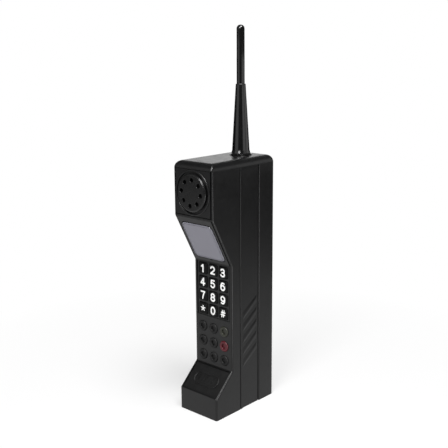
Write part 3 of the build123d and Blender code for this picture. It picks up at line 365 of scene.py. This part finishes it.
# Centre lines of the strokes. Each character is 1 high and stands on 0, with the stroke's width inside.
HALF = 0.27
STROKES = {
    "1": [[(-0.17, 0.70), (0.06, 0.90), (0.06, 0.09)]],
    "2": [arc((0.0, 0.66), (HALF, 0.25), 165, -30) + [(-HALF, 0.10), (HALF + 0.01, 0.10)]],
    "3": [
        arc((-0.01, 0.70), (0.24, 0.21), 160, -80) + [(-0.08, 0.50)],
        [(-0.08, 0.50)] + arc((-0.01, 0.31), (0.27, 0.22), 80, -160),
    ],
    "4": [[(0.12, 0.09), (0.12, 0.90), (-HALF, 0.32), (HALF + 0.04, 0.32)]],
    "5": [[(0.24, 0.90), (-0.18, 0.90), (-0.23, 0.53)] + arc((0.0, 0.35), (HALF, 0.26), 130, -155)],
    "6": [
        arc((0.0, 0.35), (HALF, 0.26), 0, 360, 24),
        [(0.20, 0.84)] + arc((0.06, 0.48), (0.33, 0.43), 100, 195),
    ],
    "7": [[(-0.26, 0.90), (0.26, 0.90), (0.09, 0.58), (-0.04, 0.09)]],
    "8": [arc((0.0, 0.71), (0.22, 0.20), 0, 360, 24), arc((0.0, 0.31), (HALF, 0.22), 0, 360, 24)],
    "9": [
        arc((0.0, 0.65), (HALF, 0.26), 0, 360, 24),
        [(-0.20, 0.16)] + arc((-0.06, 0.52), (0.33, 0.43), -80, 15),
    ],
    "0": [arc((0.0, 0.50), (HALF, 0.41), 0, 360, 32)],
    "*": spokes(0.30, 5, 90.0),
    "#": [
        [(-0.16, 0.12), (-0.06, 0.88)], [(0.08, 0.12), (0.18, 0.88)],
        [(-0.28, 0.36), (0.26, 0.36)], [(-0.24, 0.64), (0.30, 0.64)],
    ],
    "bar": [[(0.0, 0.10), (0.0, 0.90)]],
    "ring": [arc((0.0, 0.50), (0.36, 0.36), 0, 360, 32)],
    "arrow_down": [[(-0.34, 0.46), (0.0, 0.12), (0.34, 0.46)], [(0.0, 0.12), (0.0, 0.88)]],
}
STROKE_HALF = {"#": 0.062, "*": 0.062}
STROKE_HALF_USUAL = 0.092
STROKE_DEEP = 0.2
STROKE_VOXEL = 0.015
FLATS_ANGLE = 4.0
ROUND_END_STEPS = 8


def legend_mesh(name, character, height, thickness, middle, to_front=True):
    """Character of round-ended strokes, printed on middle; it faces the front or the back."""
    half = STROKE_HALF.get(character, STROKE_HALF_USUAL)
    mesh = bmesh.new()
    for points in STROKES[character]:
        outline_stroke(mesh, points, half)
    bmesh.ops.recalc_face_normals(mesh, faces=mesh.faces)
    bars = bpy.data.meshes.new(name + "_bars")
    mesh.to_mesh(bars)
    mesh.free()
    raw = bpy.data.objects.new(name + "_bars", bars)
    bpy.context.scene.collection.objects.link(raw)
    union = raw.modifiers.new("one_skin", "REMESH")
    union.mode = "VOXEL"
    union.voxel_size = STROKE_VOXEL
    flats = raw.modifiers.new("flats", "DECIMATE")
    flats.decimate_type = "DISSOLVE"
    flats.angle_limit = math.radians(FLATS_ANGLE)
    bpy.context.view_layer.update()
    data = bpy.data.meshes.new_from_object(raw.evaluated_get(bpy.context.evaluated_depsgraph_get()))
    data.name = name
    bpy.data.objects.remove(raw)
    bpy.data.meshes.remove(bars)
    turn = 1.0 if to_front else -1.0
    for vertex in data.vertices:
        x, y, z = vertex.co
        vertex.co = (
            middle.x + turn * x * height,
            middle.y - turn * z / STROKE_DEEP * thickness,
            middle.z + (y - 0.5) * height,
        )
    piece = bpy.data.objects.new(name, data)
    bpy.context.scene.collection.objects.link(piece)
    return piece


def outline_stroke(mesh, points, half):
    """Adds one closed flat bar of width 2 * half along points, with round ends and joints."""
    line = [Vector((x, y, 0.0)) for x, y in points]
    for first, second in zip(line, line[1:]):
        along = (second - first).normalized()
        across = Vector((-along.y, along.x, 0.0)) * half
        rim = []
        base = math.atan2(across.y, across.x)
        for centre, start in ((second, base - math.pi), (first, base)):
            for step in range(ROUND_END_STEPS + 1):
                angle = start + math.pi * step / ROUND_END_STEPS
                rim.append(centre + Vector((math.cos(angle), math.sin(angle), 0.0)) * half)
        lower = [mesh.verts.new(point) for point in rim]
        upper = [mesh.verts.new(point + Vector((0.0, 0.0, STROKE_DEEP))) for point in rim]
        mesh.faces.new(lower)
        mesh.faces.new(list(reversed(upper)))
        for index in range(len(rim)):
            following = (index + 1) % len(rim)
            mesh.faces.new((lower[index], upper[index], upper[following], lower[following]))


LEGEND_INK = legend_paint("legend_ink")
for node, character in NUMBER_KEYS.items():
    low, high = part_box(node)
    crown = Vector(((low.x + high.x) / 2, low.y, (low.z + high.z) / 2))
    legend = legend_mesh("legend_" + node, character, LEGEND_HEIGHT, LEGEND_THICK, crown)
    legend.data.materials.append(LEGEND_INK)
    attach(legend, node + "_button")

# Printed marks on the back: which end of the switch is on, and which way the door opens.
REAR_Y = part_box("rear_shell")[1].y
SWITCH_LOW, SWITCH_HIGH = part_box("switch_body")
SWITCH_Z = (SWITCH_LOW.z + SWITCH_HIGH.z) / 2
DOOR_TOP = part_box("battery_door")[1].z
MARK_HEIGHT = 2.6 * MM
MARK_THICK = 0.08 * MM
MARK_BESIDE_SWITCH = 3.2 * MM
MARK_BELOW_DOOR_TOP = 23.5 * MM
BACK_MARKS = {
    "mark_on": ("bar", SWITCH_LOW.x - MARK_BESIDE_SWITCH, SWITCH_Z, "housing", "shell_plastic"),
    "mark_off": ("ring", SWITCH_HIGH.x + MARK_BESIDE_SWITCH, SWITCH_Z, "housing", "shell_plastic"),
    "mark_open": ("arrow_down", 0.0, DOOR_TOP - MARK_BELOW_DOOR_TOP, "door", "shell_plastic"),
}
for name, (character, x, z, body, slot) in BACK_MARKS.items():
    place = Vector((x, REAR_Y, z))
    mark = legend_mesh(name, character, MARK_HEIGHT, MARK_THICK, place, to_front=False)
    mark.data.materials.append(LEGEND_INK)
    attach(mark, body)


# ---------------------------------------------------------------- studio
# The floor close to the object is partly lit paper, and plain white further out.
PAPER_GREY = 0.80
PAPER_NEAR, PAPER_FAR = 0.05, 0.32
PAPER_GLOW = 0.55

# The table as reflections see it: a lit pool, grey by its distance from the centre over POOL_REACH.
POOL_CENTRE = (-0.14, -0.16, 0.0)
POOL_REACH = 2.0
POOL_STOPS = ((0.0, 0.72), (0.15, 0.62), (0.28, 0.46), (0.44, 0.12), (0.80, 0.05))
# It dims towards the back left, so that the outline on that side stays crisp.
DIM_TOWARD = (-0.707, 0.707, 0.0)
DIM_NEAR, DIM_FAR = 0.08, 0.30
DIM_LEVEL = 0.06

FLOOR_RADIUS = 6.0
SKY_RADIUS = 7.0
WHITE = (1.0, 1.0, 1.0, 1.0)


def emission(name, build):
    """Emission-only material; build(tree, shader) sets the shader's colour and strength."""
    material = bpy.data.materials.new(name)
    material.use_nodes = True
    tree = material.node_tree
    tree.nodes.clear()
    shader = tree.nodes.new("ShaderNodeEmission")
    output = tree.nodes.new("ShaderNodeOutputMaterial")
    tree.links.new(shader.outputs[0], output.inputs["Surface"])
    build(tree, shader)
    return material


def glow(strength):
    """Plain white emission of one strength, for emission()."""
    def build(tree, shader):
        shader.inputs["Color"].default_value = WHITE
        shader.inputs["Strength"].default_value = strength
    return build


def disc(name, height, material):
    """Round floor sheet at a height."""
    bpy.ops.mesh.primitive_circle_add(
        vertices=96, radius=FLOOR_RADIUS, fill_type="NGON", location=(0, 0, height)
    )
    piece = bpy.context.object
    piece.name = name
    piece.data.materials.append(material)
    return piece


def seen_by(piece, camera, diffuse, glossy, shadow):
    """Which kinds of ray meet the piece."""
    piece.visible_camera = camera
    piece.visible_diffuse = diffuse
    piece.visible_glossy = glossy
    piece.visible_transmission = diffuse
    piece.visible_shadow = shadow


def floor_material():
    """White floor: lit paper under the object that turns to plain white further out."""
    material = bpy.data.materials.new("floor_white")
    material.use_nodes = True
    tree = material.node_tree
    paper = tree.nodes["Principled BSDF"]
    paper.inputs["Base Color"].default_value = (PAPER_GREY, PAPER_GREY, PAPER_GREY, 1.0)
    paper.inputs["Roughness"].default_value = 0.9
    paper.inputs["Specular IOR Level"].default_value = 0.0
    white = tree.nodes.new("ShaderNodeEmission")
    white.inputs["Color"].default_value = WHITE
    white.inputs["Strength"].default_value = 1.0
    mix = tree.nodes.new("ShaderNodeMixShader")
    place = tree.nodes.new("ShaderNodeTexCoord").outputs["Object"]
    length = vector_math(tree, "LENGTH", place)
    fade = map_range(tree, length, PAPER_NEAR, PAPER_FAR, low=PAPER_GLOW)
    tree.links.new(fade, mix.inputs["Fac"])
    tree.links.new(paper.outputs[0], mix.inputs[1])
    tree.links.new(white.outputs[0], mix.inputs[2])
    tree.links.new(mix.outputs[0], tree.nodes["Material Output"].inputs["Surface"])
    return material


def mirrored_floor(tree, shader):
    """Brightness of the table as reflections see it, for emission()."""
    place = tree.nodes.new("ShaderNodeTexCoord").outputs["Object"]
    distance = vector_math(tree, "DISTANCE", place, POOL_CENTRE)
    ramp = tree.nodes.new("ShaderNodeValToRGB")
    set_stops(ramp, POOL_STOPS)
    tree.links.new(map_range(tree, distance, 0.0, POOL_REACH), ramp.inputs["Fac"])
    tree.links.new(ramp.outputs["Color"], shader.inputs["Color"])
    toward = vector_math(tree, "DOT_PRODUCT", place, DIM_TOWARD)
    dim = map_range(tree, toward, DIM_NEAR, DIM_FAR, low=1.0, high=DIM_LEVEL)
    tree.links.new(dim, shader.inputs["Strength"])


floor = disc("floor", 0.0, floor_material())
seen_by(floor, camera=True, diffuse=True, glossy=False, shadow=True)
mirror_floor = disc("floor_in_reflections", -0.5 * MM, emission("floor_pool", mirrored_floor))
seen_by(mirror_floor, camera=False, diffuse=False, glossy=True, shadow=False)

bpy.ops.mesh.primitive_uv_sphere_add(segments=48, ring_count=24, radius=SKY_RADIUS)
sky = bpy.context.object
sky.name = "backdrop"
sky.data.materials.append(emission("backdrop_white", glow(1.0)))
seen_by(sky, camera=True, diffuse=False, glossy=False, shadow=False)

world = bpy.data.worlds.new("studio")
world.use_nodes = True
background = world.node_tree.nodes["Background"]
background.inputs["Color"].default_value = WHITE
background.inputs["Strength"].default_value = 0.07
bpy.context.scene.world = world


def softbox(name, direction, distance, size, power):
    """Rectangular area light, in watts, that faces the middle of the object."""
    lamp = bpy.data.lights.new(name, "AREA")
    lamp.shape = "RECTANGLE"
    lamp.size, lamp.size_y = size
    lamp.energy = power
    piece = bpy.data.objects.new(name, lamp)
    bpy.context.scene.collection.objects.link(piece)
    toward = Vector(direction).normalized()
    piece.location = MIDDLE + toward * distance
    piece.rotation_euler = toward.to_track_quat("Z", "Y").to_euler()
    piece.visible_camera = False


softbox("key_light", (0.40, -0.12, 0.91), 1.3, (0.6, 0.6), 18.0)
softbox("front_light", (0.25, -0.80, 0.62), 1.5, (0.6, 0.5), 16.0)
softbox("back_light", (-0.69, 0.72, 0.28), 1.6, (1.3, 0.7), 3.5)


def reflector(name, azimuth, distance, width, bottom, top, strength):
    """Upright card that only reflections see; azimuth 0 is in front, 90 to the right."""
    angle = math.radians(azimuth)
    outward = Vector((math.sin(angle), -math.cos(angle), 0.0))
    across = Vector((outward.y, -outward.x, 0.0)) * width / 2
    foot = Vector((MIDDLE.x, MIDDLE.y, 0.0)) + outward * distance
    low, high = Vector((0.0, 0.0, bottom)), Vector((0.0, 0.0, top))
    corners = [foot - across + low, foot + across + low, foot + across + high, foot - across + high]
    mesh = bpy.data.meshes.new(name)
    mesh.from_pydata(corners, [], [(0, 1, 2, 3)])
    mesh.materials.append(emission(name + "_glow", glow(strength)))
    card = bpy.data.objects.new(name, mesh)
    bpy.context.scene.collection.objects.link(card)
    seen_by(card, camera=False, diffuse=False, glossy=True, shadow=False)


# The first card lights the body's front right edge, the others light the antenna.
reflector("edge_card", 72.0, 0.17, 0.045, 0.0, 0.165, 4.5)
reflector("antenna_card_left", -20.0, 0.17, 0.16, 0.19, 0.29, 0.5)
reflector("antenna_card_right", 95.0, 0.17, 0.12, 0.18, 0.27, 0.65)
reflector("antenna_card_back", 140.0, 0.17, 0.12, 0.18, 0.27, 0.65)

# ---------------------------------------------------------------- camera
AZIMUTH = math.radians(42.26)
ELEVATION = math.radians(12.90)
ROLL = -0.0071
DISTANCE = 0.6119
SENSOR_MM, LENS_MM = 36.0, 64.0
AIM = MIDDLE + Vector((0.0, -0.0007, -0.00105))

away = Vector((
    math.cos(ELEVATION) * math.sin(AZIMUTH),
    -math.cos(ELEVATION) * math.cos(AZIMUTH),
    math.sin(ELEVATION),
))
camera_data = bpy.data.cameras.new("camera")
camera_data.sensor_width = SENSOR_MM
camera_data.lens = LENS_MM
camera = bpy.data.objects.new("camera", camera_data)
bpy.context.scene.collection.objects.link(camera)
turn = away.to_track_quat("Z", "Y").to_matrix().to_4x4()
camera.matrix_world = Matrix.Translation(AIM + away * DISTANCE) @ turn @ Matrix.Rotation(ROLL, 4, "Z")
bpy.context.scene.camera = camera
bpy.context.scene.view_settings.view_transform = "Standard"
